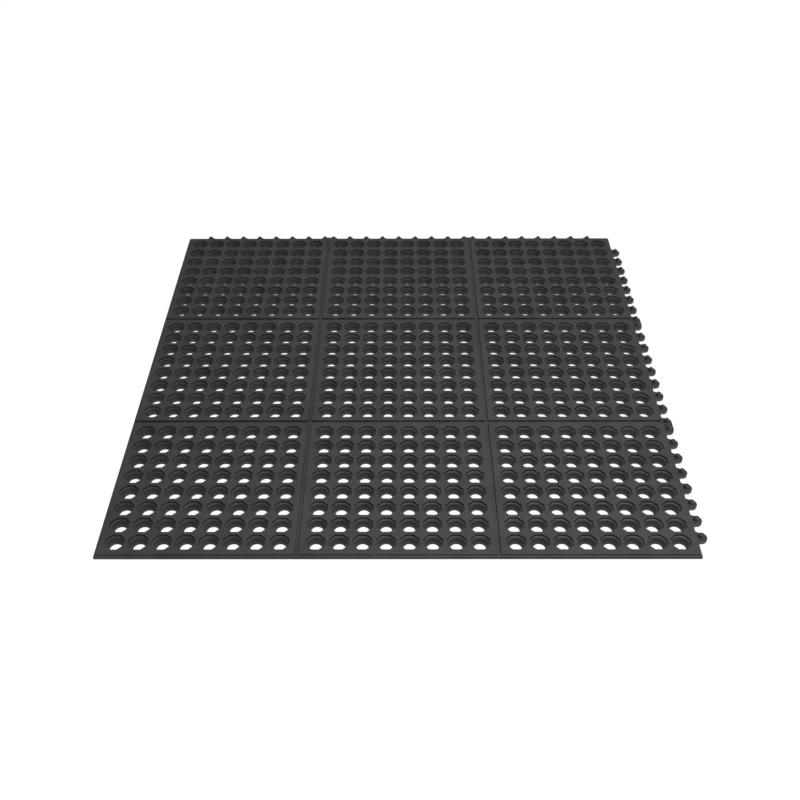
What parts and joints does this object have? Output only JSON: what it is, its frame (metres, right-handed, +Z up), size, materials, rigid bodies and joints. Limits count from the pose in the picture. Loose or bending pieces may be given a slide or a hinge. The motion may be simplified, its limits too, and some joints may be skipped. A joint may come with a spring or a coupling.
{
  "type": "anti fatigue mat",
  "caption": "Square black rubber drainage mat of scored sections with octagonal holes, sockets under two edges and button tabs along the other two.",
  "frame": {"origin": "centre of the overall footprint, tabs included, on the floor", "axes": "+X right, towards one row of tabs; +Y back, towards the other row of tabs; +Z up, out of the surface that is stood on"},
  "size_m": [0.932, 0.932, 0.016],
  "materials": {
    "black_rubber": "moulded natural rubber, dull satin, fine grain"
  },
  "bodies": {
    "centre_column": {"front_centre_grid": "black_rubber", "front_centre_feet": "black_rubber", "middle_centre_grid": "black_rubber", "middle_centre_feet": "black_rubber", "back_centre_grid": "black_rubber", "back_centre_feet": "black_rubber", "front_seam_centre": "black_rubber", "back_seam_centre": "black_rubber", "front_edge_centre": "black_rubber", "back_edge_centre": "black_rubber", "back_tabs_centre": "black_rubber", "left_fold_inner_strip": "black_rubber", "right_fold_inner_strip": "black_rubber"},
    "left_column": {"front_left_grid": "black_rubber", "front_left_feet": "black_rubber", "middle_left_grid": "black_rubber", "middle_left_feet": "black_rubber", "back_left_grid": "black_rubber", "back_left_feet": "black_rubber", "front_seam_left": "black_rubber", "back_seam_left": "black_rubber", "front_edge_left": "black_rubber", "back_edge_left": "black_rubber", "back_tabs_left": "black_rubber", "left_fold_outer_strip": "black_rubber", "left_edge_front": "black_rubber", "left_edge_middle": "black_rubber", "left_edge_back": "black_rubber"},
    "right_column": {"front_right_grid": "black_rubber", "front_right_feet": "black_rubber", "middle_right_grid": "black_rubber", "middle_right_feet": "black_rubber", "back_right_grid": "black_rubber", "back_right_feet": "black_rubber", "front_seam_right": "black_rubber", "back_seam_right": "black_rubber", "front_edge_right": "black_rubber", "back_edge_right": "black_rubber", "back_tabs_right": "black_rubber", "right_fold_outer_strip": "black_rubber", "right_edge_front": "black_rubber", "right_edge_middle": "black_rubber", "right_edge_back": "black_rubber", "right_tabs_front": "black_rubber", "right_tabs_middle": "black_rubber", "right_tabs_back": "black_rubber"}
  },
  "joints": [
    {"name": "left_fold", "type": "hinge", "parent": "centre_column", "child": "left_column", "pos_m": [-0.16133, -0.00893, 0.0128], "axis": [0, 1, 0], "range_deg": [0, 75]},
    {"name": "right_fold", "type": "hinge", "parent": "centre_column", "child": "right_column", "pos_m": [0.14347, -0.00893, 0.0128], "axis": [0, -1, 0], "range_deg": [0, 75]}
  ]
}
